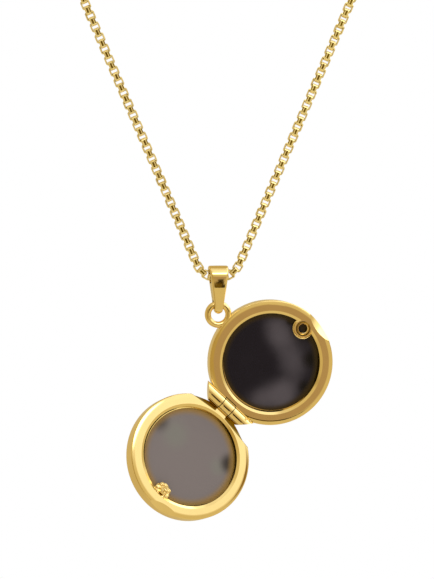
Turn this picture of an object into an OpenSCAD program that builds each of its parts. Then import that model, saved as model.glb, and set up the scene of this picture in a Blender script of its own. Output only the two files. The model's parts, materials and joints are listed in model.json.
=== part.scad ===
// Round locket, held open, on a box link chain. Millimetres, +Z up, its front faces -Y.
// The origin is where the nape of a neck meets the underside of the clasp.

/* [Chain] */
// Length of the whole loop, clasp included
chain_len = 450; // [400:10:600]
// Width across the box links
chain_w = 1.75; // [1.5:0.05:1.75]
// Lean of each side of the V from the vertical
v_angle = 23.3; // [20:0.1:27]
// Bend radius of the chain where it carries the bail
dip_r = 4.5; // [4.2:0.1:4.8]

/* [Clasp] */
// Length of the closed barrel clasp
clasp_len = 10; // [8:0.5:12]
// Diameter of the barrel clasp
clasp_d = 3; // [2.6:0.1:3.4]

/* [Bail] */
// Height of the bail
bail_h = 9.2; // [9:0.1:9.5]
// Width of the bail at its top
bail_w = 3.8; // [3.5:0.1:3.9]
// Width of the bail at its tip
bail_tip_w = 1.5; // [1.3:0.1:1.6]
// Inner diameter of the eye round the chain
bail_eye_d = 2.7; // [2.7:0.05:2.9]
// Thickness of the bail's strip
bail_wall = 0.75; // [0.7:0.05:0.9]

/* [Soldered ring] */
// Outer diameter of the ring on the rim
ring_od = 5.16; // [5.1:0.02:5.3]
// Diameter of the ring's wire
ring_wire = 1.2; // [1.1:0.05:1.2]
// Distance from the middle of the case to the middle of the ring
ring_reach = 13.85; // [13.6:0.05:13.9]
// Lean of the ring towards the hinge, off the case's middle line
ring_lean = 1; // [0:0.5:2]

/* [Case] */
// Outer diameter of the round case
case_d = 24; // [23.8:0.1:24.2]
// Depth of each half
half_t = 4; // [3.8:0.1:4.4]
// Rise of the slightly domed back
dome_h = 0.2; // [0.1:0.05:0.3]
// Thickness of the sheet that each half is pressed from
shell_t = 0.6; // [0.5:0.1:0.9]
// Radius of the roll outside the rim's flat band
roll_r = 2.5; // [2:0.25:4]
// Distance from the middle of the case to the end of the flat band
flat_reach = 11.1; // [10.9:0.05:11.2]
// Rounding of the rim's outer edge
rim_r = 0.25; // [0.2:0.05:0.35]
// Rounding between the side and the back
back_r = 1.3; // [1.1:0.1:1.5]
// Diameter of the window inside the rim
window_d = 19; // [18.6:0.1:19.1]
// Width of the bevel round the window
bevel_w = 0.5; // [0.4:0.05:0.6]
// Depth of the bevel round the window
bevel_t = 0.3; // [0.25:0.05:0.4]
// Turn of the locket about the ring, hinge lowest
locket_turn = 46.5; // [44:0.5:50]

/* [Plates] */
// Depth of the seat that holds a plate
seat_t = 1.6; // [1.5:0.05:1.8]
// Thickness of each dark plate
plate_t = 0.4; // [0.3:0.05:0.4]
// Thickness of the thin frame over each plate
frame_t = 0.3; // [0.2:0.05:0.3]
// Width of the thin frame
frame_w = 0.25; // [0.2:0.05:0.35]
// How far the frame is larger than its window, all round
frame_over = 0.25; // [0.2:0.05:0.3]
// Distance that each frame stands off the middle of its window
frame_shift = 0.4; // [0.3:0.05:0.4]

/* [Hinge] */
// Distance from the middle of the case to the hinge pin
hinge_reach = 12.1; // [11.9:0.05:12.15]
// Diameter of the hinge barrel
barrel_d = 2.7; // [2.5:0.1:2.8]
// Length of the barrel along the window side
barrel_in_len = 12; // [11.6:0.2:12.4]
// Length of the barrel along the outer side
barrel_out_len = 7; // [6.6:0.2:7.4]
// Distance that the barrel stands off the case's middle line, towards the ring
barrel_shift = 0.65; // [0:0.05:0.8]
// Diameter of the channels in the cover that clear the outer knuckles, at the middle knuckle
channel_d = 3.9; // [3.5:0.1:3.9]
// Widening of each channel's radius along its length
channel_flare = 0.14; // [0.08:0.01:0.16]
// Length of the cover's middle knuckle
mid_len = 2.4; // [2.2:0.1:2.6]
// Diameter of the hinge pin
pin_d = 0.9; // [0.8:0.05:0.9]
// Length of the hinge pin
pin_len = 8; // [7:0.2:8.2]
// Fold that is left when the cover stands fully open
open_fold = 21; // [20:1:26]

/* [Catch] */
// Distance from the middle of the case to the catch
catch_reach = 8.95; // [8.8:0.05:9]
// Diameter of the boss round the socket
boss_d = 4; // [3.6:0.1:4.1]
// Diameter of the collar round the socket
collar_d = 2.5; // [2.4:0.05:2.7]
// Diameter of the socket
socket_d = 1.7; // [1.68:0.02:1.8]
// Diameter of the knob that the socket takes
knob_d = 1.35; // [1.25:0.05:1.4]
// Reach of the knob past the cover's rim
knob_h = 0.6; // [0.5:0.05:0.65]
// Radius of the thumb nick's scoop in the rim's edge
nick_r = 10; // [8:0.5:11]
// Depth of the thumb nick
nick_cut = 1.3; // [1:0.05:1.3]
// Turn of the thumb nick from the catch
nick_turn = -11; // [-15:1:-8]

/* [Hidden] */
$fn = 96;
eps = 0.01;
// How far a cut runs past the face that it opens
past = 1;
// Clearances: running faces, rim faces when shut, pin in the moving knuckle, plates in their seats
run_gap = 0.15;
shut_gap = 0.1;
pin_gap = 0.05;
seat_gap = 0.05;
case_r = case_d / 2;
window_r = window_d / 2;
dome_fn = 360;
// Ledge behind each plate
ledge_w = 0.5;

// Loop: a neck circle and two straight sides that are tangent to it and to the dip
dip_turn = 90 - v_angle;
arc_gain = 2 * dip_r * (tan(dip_turn) - dip_turn * PI / 180);
apex_reach = (chain_len + arc_gain) / (2 * cos(v_angle) + sin(v_angle) * PI * (1 + v_angle / 90));
neck_r = apex_reach * sin(v_angle);
neck_z = clasp_d / 2 - neck_r;
dip_z = neck_z - apex_reach + dip_r / sin(v_angle);
clasp_turn = asin(clasp_len / 2 / neck_r);
clasp_waist = 0.35;

// Bail: it turns about the middle of the chain that it holds
chain_sag = dip_r - sqrt(pow(dip_r, 2) - pow(bail_w / 2, 2));
bail_z = dip_z - dip_r + chain_sag / 2;
bail_top = bail_eye_d / 2 + bail_wall;
bail_tip_z = bail_z + bail_top - bail_h;
bail_foot_r = 1.55;
arc_steps = 20;
ring_eye_r = 0.9;

// Ring: its wire passes through the foot of the bail
ring_r = (ring_od - ring_wire) / 2;
ring_drop = 0.1;
ring_z = bail_tip_z - ring_drop;
ring_eye_drop = 0.1;
ring_eye_z = ring_z + ring_r - ring_eye_drop;
ring_back = 0.75;

// Hinge: each knuckle is rolled, and its seam faces forwards and a little outwards
open_angle = 180 - open_fold;
seam_w = 0.24;
seam_t = 0.35;
seam_len = 2.3;
seam_inset = 0.35;
seam_turn = 6;
mid_seam_len = 1.6;

// Catch: a groove sets the collar off from its boss, and two slots part the knob into four prongs
boss_t = 0.85;
boss_drop = 0.25;
boss_edge = 0.35;
collar_edge = 0.2;
groove_side = 0.1;
sink_edge = 0.1;
slot_w = 0.3;
slot_t = 0.42;
tip_t = 0.35;
nick_reach = (sqrt(2 * pow(nick_r, 2) - pow(nick_cut, 2)) - nick_cut) / 2;

// Plates: the seat runs under the rim, each frame is pushed one way in it, and the back's is split.
// The turns are angles from the catch.
seat_r = window_r + 0.75;
lip_gap = 0.05;
back_push = 0;
cover_push = -102;
split_turn = -84;
split_w = 0.35;

// Stations along the loop as [x, z, heading], clockwise from the clasp's right end
neck_steps = 22;
side_steps = 9;
dip_steps = 8;
tube_sides = 8;
function on_neck(turn) = [neck_r * sin(turn), neck_z + neck_r * cos(turn), -turn];
function on_dip(turn) = [dip_r * sin(turn), dip_z - dip_r * cos(turn), 180 + turn];
function between(a, b, share) = [a[0] + (b[0] - a[0]) * share, a[1] + (b[1] - a[1]) * share, b[2]];
neck_end = on_neck(90 + v_angle);
dip_end = [dip_r * cos(v_angle), dip_z - dip_r * sin(v_angle), -90 - v_angle];
right_side = [
    [clasp_len / 2, neck_z + neck_r * cos(clasp_turn), 0],
    for (i = [1:neck_steps]) on_neck(clasp_turn + (90 + v_angle - clasp_turn) * i / neck_steps),
    for (i = [1:side_steps - 1]) between(neck_end, dip_end, i / side_steps),
];
dip = [for (i = [0:dip_steps]) on_dip(dip_turn * (1 - 2 * i / dip_steps))];
left_side = [for (i = [len(right_side) - 1:-1:0]) let (s = right_side[i]) [-s[0], s[1], -s[2]]];
stations = concat(right_side, dip, left_side);

// The ring of points round one station
function tube_ring(s) = [
    for (j = [0:tube_sides - 1])
        let (t = 360 * j / tube_sides, out = chain_w / 2 * cos(t), side = chain_w / 2 * sin(t))
        [s[0] - out * sin(s[2]), side, s[1] + out * cos(s[2])]
];

// The whole chain as one tube that follows the loop
module chain() {
    last = len(stations) - 1;
    points = [for (s = stations) each tube_ring(s)];
    sides = [
        for (i = [0:last - 1], j = [0:tube_sides - 1])
            let (a = i * tube_sides, k = (j + 1) % tube_sides, b = a + tube_sides)
            each [[a + j, a + k, b + k], [a + j, b + k, b + j]]
    ];
    first_cap = [for (j = [tube_sides - 1:-1:0]) j];
    last_cap = [for (j = [0:tube_sides - 1]) last * tube_sides + j];
    color("gold") polyhedron(points, concat(sides, [first_cap, last_cap]));
}

// A plain barrel clasp, closed
module clasp() {
    color("gold")
        translate([0, 0, clasp_d / 2])
            rotate([0, 90, 0])
                difference() {
                    union() {
                        cylinder(h = clasp_len, d = clasp_d - 2 * clasp_waist, center = true);
                        cylinder(h = clasp_len - 2 * clasp_waist, d = clasp_d, center = true);
                    }
                    rotate_extrude()
                        translate([clasp_d / 2 + clasp_waist / 2, 0])
                            circle(r = clasp_waist);
                }
}

// Points along an arc about [x, z]
function arc(r, x, z, from, to) = [
    for (i = [0:arc_steps])
        let (t = from + (to - from) * i / arc_steps)
        [x + r * cos(t), z + r * sin(t)]
];

// Two circles, one over the other, joined by their outer tangents
function drop_points(top_r, top_z, foot_r, foot_z) =
    let (lean = asin((top_r - foot_r) / (top_z - foot_z)))
    concat(arc(top_r, 0, top_z, lean, 180 - lean), arc(foot_r, 0, foot_z, 180 - lean, 360 + lean));

// The tapered strip, bent over the chain and round the ring
module bail() {
    foot_z = bail_tip_z + bail_foot_r;
    tip_r = bail_tip_w / 2;
    head_z = bail_z + bail_top + eps;
    color("gold")
        intersection() {
            rotate([90, 0, 90])
                linear_extrude(height = bail_w + past, center = true)
                    difference() {
                        polygon(drop_points(bail_top, bail_z, bail_foot_r, foot_z));
                        polygon(drop_points(bail_eye_d / 2, bail_z, ring_eye_r, ring_eye_z));
                    }
            rotate([90, 0, 0])
                linear_extrude(height = 3 * bail_top, center = true)
                    polygon(concat(
                        [[bail_w / 2, head_z], [-bail_w / 2, head_z]],
                        arc(tip_r, 0, bail_tip_z + tip_r, 180, 360)
                    ));
        }
}

// From the case's own frame, hinge at -X, ring at +Z, back at +Y, to the place where it hangs
module hang() {
    translate([0, -ring_back, ring_z])
        rotate([0, -locket_turn - ring_lean, 0])
            translate([0, 0, -ring_reach])
                rotate([0, ring_lean, 0])
                    children();
}

// From the shut cover to the open one
module swing_open() {
    translate([-hinge_reach, 0, 0])
        rotate([0, 0, -open_angle])
            translate([hinge_reach, 0, 0])
                children();
}

// A shape turned about the case's middle, its outline drawn as radius and depth
module spin() {
    rotate([-90, 0, 0])
        rotate_extrude()
            children();
}

// A round bar along Z at the hinge pin
module hinge_bar(d, len, from = 0) {
    translate([-hinge_reach, 0, from + barrel_shift])
        cylinder(h = len, d = d, center = from == 0);
}

// The outline of one half's solid form, the flat band of its rim at depth front
module cup_outline(front) {
    back = half_t;
    dome_r = (pow(case_r - back_r, 2) + pow(dome_h, 2)) / (2 * dome_h);
    edge_x = case_r - rim_r;
    edge_z = front + roll_r - sqrt(pow(roll_r - rim_r, 2) - pow(edge_x - flat_reach, 2));
    meet_x = flat_reach + (edge_x - flat_reach) * roll_r / (roll_r - rim_r);
    translate([window_r - past, front])
        square([flat_reach - window_r + past, roll_r]);
    intersection() {
        translate([flat_reach, front + roll_r])
            circle(r = roll_r, $fn = dome_fn);
        translate([window_r, front])
            square([meet_x - window_r, roll_r]);
    }
    translate([edge_x, edge_z])
        circle(r = rim_r);
    translate([0, edge_z])
        square([case_r, back - back_r - edge_z]);
    translate([case_r - back_r, back - back_r])
        circle(r = back_r);
    translate([0, back - back_r - eps])
        square([case_r - back_r, back_r + eps]);
    intersection() {
        translate([0, back - back_r])
            square([case_r - back_r, 2 * back_r]);
        translate([0, back + dome_h - dome_r])
            circle(r = dome_r, $fn = dome_fn);
    }
}

// The pressed cup of one half, its rim at depth front
module cup(front) {
    difference() {
        spin()
            cup_outline(front);
        spin() {
            translate([0, front - past])
                square([window_r, past + seat_t]);
            translate([0, seat_t - plate_t - frame_t - lip_gap])
                square([seat_r, plate_t + frame_t + lip_gap]);
            polygon([
                [0, front - past],
                [window_r + bevel_w * (1 + past / bevel_t), front - past],
                [window_r, front + bevel_t],
                [0, front + bevel_t],
            ]);
            translate([0, seat_t - eps])
                square([window_r - ledge_w, half_t - shell_t - seat_t + eps]);
        }
    }
}

// The scoop in the rim's edge that a thumbnail opens the locket by
module nick() {
    rotate([0, -nick_turn, 0])
        translate([case_r + nick_reach, -nick_reach, 0])
            sphere(r = nick_r);
}

// The outline that the barrel's ends are dressed to, with the rim
module barrel_outline() {
    translate([-hinge_reach, 0, barrel_shift])
        rotate([90, 0, 0])
            linear_extrude(height = 2 * barrel_d, center = true)
                polygon([
                    [barrel_d / 2 + eps, barrel_in_len / 2],
                    [barrel_d / 2 + eps, -barrel_in_len / 2],
                    [-barrel_d / 2 - eps, -barrel_out_len / 2],
                    [-barrel_d / 2 - eps, barrel_out_len / 2],
                ]);
}

// The channels that clear the outer knuckles, wider towards their ends
module channels() {
    len = barrel_in_len / 2 + past;
    for (side = [0, 1])
        translate([-hinge_reach, 0, barrel_shift])
            mirror([0, 0, side])
                translate([0, 0, mid_len / 2])
                    cylinder(h = len, d1 = channel_d, d2 = channel_d + 2 * channel_flare * len);
}

// The seam of a rolled knuckle
module seam(from, len, turn) {
    translate([-hinge_reach, 0, from + barrel_shift])
        rotate([0, 0, turn])
            translate([-seam_w / 2, -barrel_d / 2 - past, 0])
                cube([seam_w, past + seam_t, len]);
}

// A round boss at the catch, its top at depth top and its edge bevelled
module boss(d, top, edge) {
    translate([catch_reach, top, 0])
        rotate([-90, 0, 0]) {
            cylinder(d1 = d - 2 * edge, d2 = d, h = edge);
            translate([0, 0, edge])
                cylinder(d = d, h = boss_t - top - edge);
        }
}

// The socket's bore, its countersunk mouth and the groove round its collar
module socket() {
    collar_r = collar_d / 2;
    mouth = past + sink_edge;
    translate([catch_reach, boss_t + past, 0])
        rotate([90, 0, 0])
            cylinder(d = socket_d, h = boss_t + 2 * past);
    translate([catch_reach, -past, 0])
        rotate([-90, 0, 0])
            cylinder(d1 = socket_d + 2 * mouth, d2 = socket_d, h = mouth);
    translate([catch_reach, 0, 0])
        rotate([-90, 0, 0])
            rotate_extrude()
                polygon([
                    [collar_r - collar_edge, 0],
                    [collar_r, collar_edge],
                    [collar_r + groove_side, 0],
                    [collar_r + groove_side, -past],
                    [collar_r - collar_edge, -past],
                ]);
}

// The case's half that carries the ring, the socket and the two outer knuckles
module back_half() {
    gap_len = mid_len + 2 * run_gap;
    color("gold")
        hang()
            difference() {
                union() {
                    difference() {
                        cup(0);
                        nick();
                        hinge_bar(barrel_d + 2 * run_gap, gap_len);
                    }
                    difference() {
                        intersection() {
                            hinge_bar(barrel_d, barrel_in_len);
                            barrel_outline();
                        }
                        hinge_bar(2 * barrel_d, gap_len);
                    }
                    rotate([0, -ring_lean, 0])
                        translate([0, ring_back, ring_reach])
                            rotate([90, 0, 0])
                                rotate_extrude()
                                    translate([ring_r, 0])
                                        circle(d = ring_wire);
                    difference() {
                        boss(boss_d, 0, boss_edge);
                        nick();
                    }
                }
                hinge_bar(pin_d, pin_len);
                socket();
                for (from = [gap_len / 2 + seam_inset, -gap_len / 2 - seam_inset - seam_len])
                    seam(from, seam_len, -seam_turn);
            }
}

// The thin ring over a plate, pushed to one side so that it shows only on the other
module plate_frame(turn) {
    translate([frame_shift * cos(turn), 0, frame_shift * sin(turn)])
        spin()
            translate([window_r + frame_over - frame_w, seat_t - plate_t - frame_t])
                square([frame_w, frame_t]);
}

// A flat plate at the bottom of its seat
module plate() {
    spin()
        translate([0, seat_t - plate_t])
            square([seat_r - seat_gap, plate_t]);
}

module back_frame() {
    color("goldenrod")
        hang()
            difference() {
                plate_frame(back_push);
                rotate([0, -split_turn, 0])
                    translate([window_r / 2, 0, -split_w / 2])
                        cube([window_r, seat_t, split_w]);
            }
}

module back_plate() {
    color("dimgray")
        hang()
            plate();
}

// The rivet that the cover turns on
module hinge_pin() {
    color("goldenrod")
        hang()
            hinge_bar(pin_d, pin_len);
}

// The pronged knob that snaps into the socket
module knob() {
    tip_r = (pow(knob_d / 2, 2) + pow(tip_t, 2)) / (2 * tip_t);
    difference() {
        union() {
            translate([0, boss_t, 0])
                rotate([90, 0, 0])
                    cylinder(d = knob_d, h = boss_t + knob_h - tip_t);
            translate([0, tip_t - knob_h, 0])
                rotate([90, 0, 0])
                    intersection() {
                        cylinder(d = knob_d, h = tip_t);
                        translate([0, 0, tip_t - tip_r])
                            sphere(r = tip_r);
                    }
        }
        for (turn = [45, 135])
            rotate([0, turn, 0])
                translate([-knob_d, -knob_h - past, -slot_w / 2])
                    cube([2 * knob_d, past + slot_t, slot_w]);
    }
}

// The case's half that swings, drawn shut with its depth towards +Y
module cover_shape() {
    difference() {
        union() {
            difference() {
                cup(shut_gap);
                nick();
                channels();
            }
            hinge_bar(barrel_d, mid_len);
            boss(boss_d - 4 * run_gap, boss_drop + shut_gap, boss_edge);
            translate([catch_reach, 0, 0])
                knob();
        }
        hinge_bar(pin_d + 2 * pin_gap, 2 * barrel_in_len);
        seam(-mid_seam_len / 2, mid_seam_len, open_fold + seam_turn);
    }
}

module cover_half() {
    color("gold")
        hang()
            swing_open()
                mirror([0, 1, 0])
                    cover_shape();
}

module cover_frame() {
    color("goldenrod")
        hang()
            swing_open()
                mirror([0, 1, 0])
                    plate_frame(cover_push);
}

module cover_plate() {
    color("rosybrown")
        hang()
            swing_open()
                mirror([0, 1, 0])
                    plate();
}

chain();
clasp();
bail();
back_half();
back_frame();
back_plate();
hinge_pin();
cover_half();
cover_frame();
cover_plate();
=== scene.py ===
"""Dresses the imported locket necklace: its box links, clasp, bail, catch and finishes, in a light tent."""

import json
import logging
from dataclasses import dataclass, field
from enum import Enum
from math import asin, cos, degrees, pi, radians, sin, sqrt, tan

import bpy
import numpy as np
from mathutils import Matrix, Vector


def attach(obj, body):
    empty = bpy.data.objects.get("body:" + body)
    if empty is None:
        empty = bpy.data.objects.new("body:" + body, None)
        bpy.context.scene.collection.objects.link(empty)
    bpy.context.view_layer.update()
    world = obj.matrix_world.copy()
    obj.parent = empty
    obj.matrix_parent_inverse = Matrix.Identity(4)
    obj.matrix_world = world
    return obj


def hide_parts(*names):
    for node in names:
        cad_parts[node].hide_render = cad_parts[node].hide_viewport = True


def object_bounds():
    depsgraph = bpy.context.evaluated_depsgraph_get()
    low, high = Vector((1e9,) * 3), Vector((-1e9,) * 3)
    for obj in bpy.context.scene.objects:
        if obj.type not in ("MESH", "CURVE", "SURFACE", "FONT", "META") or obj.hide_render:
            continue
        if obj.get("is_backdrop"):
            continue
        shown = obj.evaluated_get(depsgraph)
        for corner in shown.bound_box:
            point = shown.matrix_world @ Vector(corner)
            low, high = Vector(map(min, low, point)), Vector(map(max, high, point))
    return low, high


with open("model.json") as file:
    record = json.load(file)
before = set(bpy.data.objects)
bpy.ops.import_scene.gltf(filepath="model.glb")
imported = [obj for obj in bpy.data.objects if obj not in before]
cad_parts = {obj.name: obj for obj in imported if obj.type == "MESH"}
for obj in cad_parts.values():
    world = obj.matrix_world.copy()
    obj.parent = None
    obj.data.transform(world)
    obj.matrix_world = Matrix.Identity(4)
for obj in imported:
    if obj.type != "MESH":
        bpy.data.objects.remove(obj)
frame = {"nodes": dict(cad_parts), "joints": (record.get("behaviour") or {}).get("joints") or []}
LOG = logging.getLogger("locket")
MM = 0.001
Colour = tuple[float, float, float]
Spot = tuple[float, float, float]
Pair = tuple[float, float]
Socket = bpy.types.NodeSocket
Value = Socket | float | tuple
Array = np.ndarray
Tree = bpy.types.NodeTree
Material = bpy.types.Material
Piece = bpy.types.Object
SOOT = (0.02, 0.01, 0.0)


def unit(azimuth: float, elevation: float) -> Vector:
    """The direction outwards to an azimuth and elevation in degrees, 0 being the front, -Y, and 90 +X."""
    a, e = radians(azimuth), radians(elevation)
    return Vector((sin(a) * cos(e), -cos(a) * cos(e), sin(e)))


def amber(level: float) -> Colour:
    """A warm light of a given level, the deeper in colour the dimmer it is, as gold throws it back."""
    return level, level**1.4, level**2.6


class Sheet:
    """A node tree with short calls for the nodes that this file uses."""

    def __init__(self, tree: Tree) -> None:
        """Takes over a tree and clears it."""
        self.tree = tree
        tree.nodes.clear()

    def node(self, kind: str, inputs: dict | None = None, **settings: object) -> bpy.types.Node:
        """Adds one node.

        Args:
            kind: The node's class name without its ShaderNode prefix.
            inputs: Socket values or links by socket name or index.
            **settings: Attributes to set on the node.

        Returns:
            The new node.
        """
        made = self.tree.nodes.new("ShaderNode" + kind)
        for name, value in settings.items():
            setattr(made, name, value)
        for key, value in (inputs or {}).items():
            self.feed(made.inputs[key], value)
        return made

    def feed(self, socket: Socket, value: Value) -> None:
        """Links a socket to another, or sets its constant.

        Args:
            socket: The socket to feed.
            value: Another socket, or a constant; a colour is three numbers.
        """
        if isinstance(value, Socket):
            self.tree.links.new(value, socket)
        elif isinstance(value, tuple) and socket.type == "RGBA":
            socket.default_value = (*value, 1.0)
        else:
            socket.default_value = value

    def math(self, operation: str, *values: Value) -> Socket:
        """A Math node's result."""
        return self.node("Math", dict(enumerate(values)), operation=operation).outputs[0]

    def vector(self, operation: str, *values: Value) -> Socket:
        """A Vector Math node's vector result."""
        return self.node("VectorMath", dict(enumerate(values)), operation=operation).outputs[0]

    def fade(
        self, value: Value, start: Value = 0.0, end: Value = 1.0, low: float = 0.0, high: float = 1.0
    ) -> Socket:
        """A smooth step from low at start to high at end."""
        places = {"Value": value, "From Min": start, "From Max": end, "To Min": low, "To Max": high}
        return self.node("MapRange", places, interpolation_type="SMOOTHSTEP").outputs[0]

    def mix(self, share: Value, first: Value, second: Value) -> Socket:
        """A colour between two others, all of the second where the share is 1."""
        return self.node("Mix", {0: share, 6: first, 7: second}, data_type="RGBA").outputs[2]

    def noise(self, vector: Socket, scale: float, detail: float = 2.0) -> Socket:
        """A noise field from 0 to 1."""
        return self.node("TexNoise", {"Vector": vector, "Scale": scale, "Detail": detail}).outputs[0]

    def scaled(self, vector: Value, by: Socket) -> Socket:
        """A vector times a number."""
        return self.node("VectorMath", {0: vector, "Scale": by}, operation="SCALE").outputs[0]

    def place(self) -> Socket:
        """Where a point lies on its object, in millimetres."""
        return self.vector("MULTIPLY", self.node("TexCoord").outputs["Object"], (1 / MM, 1 / MM, 1 / MM))

    def surface(self, inputs: dict[str, Value]) -> None:
        """Ends a material in a Principled BSDF with these inputs."""
        shader = self.node("BsdfPrincipled", inputs)
        self.node("OutputMaterial", {"Surface": shader.outputs[0]})


class Groups:
    """Shader node groups that several finishes share, in millimetres."""

    # The turn in radians and the stretch along each axis of each run of polishing lines
    polishing = ((0.6, (9.0, 60.0, 9.0)), (2.1, (70.0, 8.0, 12.0)))

    def __init__(self) -> None:
        """Builds every group once."""
        self.hairlines = self._hairlines()
        self.cloud = self._cloud()
        self.patch = self._patch()

    @staticmethod
    def _new(name: str, inputs: dict[str, tuple[str, Value]], outputs: dict[str, str]) -> tuple:
        """Makes an empty group.

        Args:
            name: The group's name.
            inputs: Socket type and default value by input name.
            outputs: Socket type by output name.

        Returns:
            The group's sheet, its input node, its output node and its place in millimetres.
        """
        tree = bpy.data.node_groups.new(name, "ShaderNodeTree")
        for label, (kind, value) in inputs.items():
            socket = tree.interface.new_socket(label, in_out="INPUT", socket_type="NodeSocket" + kind)
            socket.default_value = value
        for label, kind in outputs.items():
            tree.interface.new_socket(label, in_out="OUTPUT", socket_type="NodeSocket" + kind)
        sheet = Sheet(tree)
        entry, leave = tree.nodes.new("NodeGroupInput"), tree.nodes.new("NodeGroupOutput")
        return sheet, entry, leave, sheet.place()

    def _hairlines(self) -> Tree:
        """Fine polishing lines that run in two directions.

        Returns:
            The group, with a Mask for roughness and a Height for the bump.
        """
        sheet, entry, leave, place = self._new(
            "hairlines", {"Fineness": ("Float", 1.0)}, {"Mask": "Float", "Height": "Float"}
        )
        lines = []
        for turn, stretch in self.polishing:
            turned = sheet.node("VectorRotate", {"Vector": place, "Angle": turn}, rotation_type="Y_AXIS")
            scaled = sheet.scaled(sheet.vector("MULTIPLY", turned.outputs[0], stretch), entry.outputs[0])
            lines.append(sheet.fade(sheet.noise(scaled, scale=0.22, detail=3.0), start=0.6, end=0.78))
        both = sheet.math("MAXIMUM", *lines)
        pits = sheet.fade(sheet.noise(place, scale=3.5), start=0.7, end=0.82, high=0.7)
        sheet.feed(leave.inputs["Mask"], sheet.math("MAXIMUM", both, pits))
        sheet.feed(leave.inputs["Height"], both)
        return sheet.tree

    def _cloud(self) -> Tree:
        """Broad, soft unevenness.

        Returns:
            The group, with a Mask for tone and a Height for the slight waviness of polished metal.
        """
        sheet, entry, leave, place = self._new(
            "cloud", {"Size": ("Float", 3.0)}, {"Mask": "Float", "Height": "Float"}
        )
        scaled = sheet.scaled(place, sheet.math("DIVIDE", 1.0, entry.outputs[0]))
        sheet.feed(leave.inputs["Mask"], sheet.fade(sheet.noise(scaled, scale=1.0), start=0.35, end=0.65))
        sheet.feed(leave.inputs["Height"], sheet.noise(scaled, scale=0.7, detail=1.0))
        return sheet.tree

    def _patch(self) -> Tree:
        """A soft round patch about a point.

        Returns:
            The group, with a Mask that is 1 inside and 0 past its radius.
        """
        sheet, entry, leave, place = self._new(
            "patch",
            {"Centre": ("Vector", (0, 0, 0)), "Radius": ("Float", 1.0), "Softness": ("Float", 1.0)},
            {"Mask": "Float"},
        )
        apart = sheet.node("VectorMath", {0: place, 1: entry.outputs[0]}, operation="DISTANCE").outputs[1]
        inner = sheet.math("SUBTRACT", entry.outputs[1], entry.outputs[2])
        sheet.feed(leave.inputs["Mask"], sheet.fade(apart, inner, entry.outputs[1], low=1.0, high=0.0))
        return sheet.tree


@dataclass(frozen=True)
class GoldFinish:
    """Polished gold: even and bright, with hairlines, and painted shade: a deeper tone where a groove shuts
    out light.
    """

    name: str
    face: Colour = (1.0, 0.775, 0.335)
    painted_shade: Colour = (0.14, 0.092, 0.006)
    roughness: float = 0.06
    worn: float = 0.12
    groove_mm: float = 0.6
    shut: float = 0.15
    open: float = 0.62
    metallic: float = 1.0
    wave_mm: float = 0.006
    hair_mm: float = 0.0003
    fineness: float = 1.0
    dull: float = 0.97

    def shaded(self, sheet: Sheet, colour: Socket) -> Socket:
        """The colour after any painted shade that belongs to one place; plain gold has none."""
        return colour

    def material(self, groups: Groups) -> Material:
        """Builds the material.

        Args:
            groups: The shared node groups.

        Returns:
            A material of polished gold.
        """
        made = bpy.data.materials.new(self.name)
        made.use_nodes = True
        sheet = Sheet(made.node_tree)
        hair = sheet.node("Group", {"Fineness": self.fineness}, node_tree=groups.hairlines)
        cloud = sheet.node("Group", node_tree=groups.cloud)
        # Painted shade: ambient occlusion darkens the colour in grooves and hollows.
        shut = sheet.node("AmbientOcclusion", {"Distance": self.groove_mm * MM}, samples=6)
        open_share = sheet.fade(shut.outputs["AO"], self.shut, self.open)
        toned = sheet.mix(cloud.outputs["Mask"], tuple(self.dull * part for part in self.face), self.face)
        colour = self.shaded(sheet, sheet.mix(open_share, self.painted_shade, toned))
        rough = sheet.math("MULTIPLY_ADD", hair.outputs["Mask"], self.worn - self.roughness, self.roughness)
        wave = sheet.node("Bump", {"Height": cloud.outputs["Height"], "Distance": self.wave_mm * MM})
        height, normal = hair.outputs["Height"], wave.outputs[0]
        lines = sheet.node("Bump", {"Height": height, "Distance": self.hair_mm * MM, "Normal": normal})
        sheet.surface({
            "Base Color": colour, "Metallic": self.metallic, "Roughness": rough, "Normal": lines.outputs[0]
        })
        return made


@dataclass(frozen=True)
class ChannelledGold(GoldFinish):
    """Polished gold with painted shade on the walls of the channels beside the hinge's middle knuckle.
    Millimetres.
    """

    hinge: Vector = Vector((0.0, 0.0, 0.0))
    along: Vector = Vector((0.0, 0.0, 1.0))
    shift: float = 0.65
    knuckle: float = 1.2
    radius: float = 1.95
    flare: float = 0.14
    shade: Colour = (0.25, 0.17, 0.008)
    wall_fade: Pair = (0.1, 0.02)
    end_fade: float = 0.05

    def shaded(self, sheet: Sheet, colour: Socket) -> Socket:
        """Paints shade on the channels' walls.

        Args:
            sheet: The material's sheet.
            colour: The colour without the shade.

        Returns:
            The colour with it.
        """
        apart = sheet.vector("SUBTRACT", sheet.place(), tuple(self.hinge / MM + self.along * self.shift))
        along = tuple(self.along)
        down = sheet.node("VectorMath", {0: apart, 1: along}, operation="DOT_PRODUCT").outputs[1]
        axial = sheet.scaled(along, down)
        radial = sheet.node("VectorMath", {0: apart, 1: axial}, operation="DISTANCE").outputs[1]
        past = sheet.math("SUBTRACT", sheet.math("ABSOLUTE", down), self.knuckle)
        wall = sheet.math("SUBTRACT", radial, sheet.math("MULTIPLY", past, self.flare))
        near = sheet.fade(wall, *(self.radius + edge for edge in self.wall_fade))
        beyond = sheet.fade(past, -self.end_fade, self.end_fade)
        return sheet.mix(sheet.math("MULTIPLY", near, beyond), colour, self.shade)


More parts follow.
